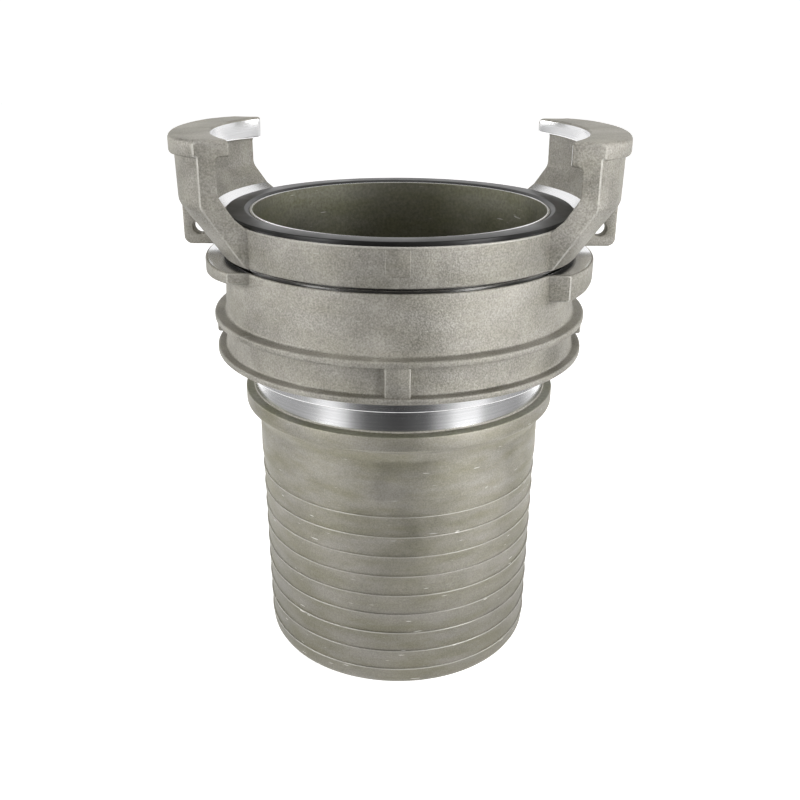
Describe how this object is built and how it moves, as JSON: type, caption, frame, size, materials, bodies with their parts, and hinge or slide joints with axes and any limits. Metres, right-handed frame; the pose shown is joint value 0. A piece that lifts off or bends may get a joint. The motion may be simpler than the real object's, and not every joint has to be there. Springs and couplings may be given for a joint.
{
  "type": "symmetrical hose coupling with locking ring",
  "caption": "Cast aluminium hose coupling with two lipped hooks, a turning locking ring with sloped lobes, a rubber face gasket and a gripped hose tail.",
  "frame": {"origin": "centre of the hose tail's end, at the bottom of the bounding box", "axes": "+Z along the waterway from the hose end to the coupling face; +X through the middle of a hook"},
  "size_m": [0.1678, 0.143, 0.2075],
  "materials": {
    "cast_aluminium": "sand cast and shot blasted, with turned faces",
    "ring_aluminium": "cast and shot blasted, with turned top and bore",
    "black_rubber": "smooth nitrile rubber",
    "spring_steel": "drawn stainless wire"
  },
  "bodies": {
    "body": {"coupling_body": "cast_aluminium", "gasket": "black_rubber", "retaining_wire": "spring_steel"},
    "ring": {"locking_ring": "ring_aluminium"}
  },
  "joints": [
    {"name": "ring_turn", "type": "hinge", "parent": "body", "child": "ring", "pos_m": [0, 0, 0.1442], "axis": [0, 0, 1], "continuous": true}
  ]
}
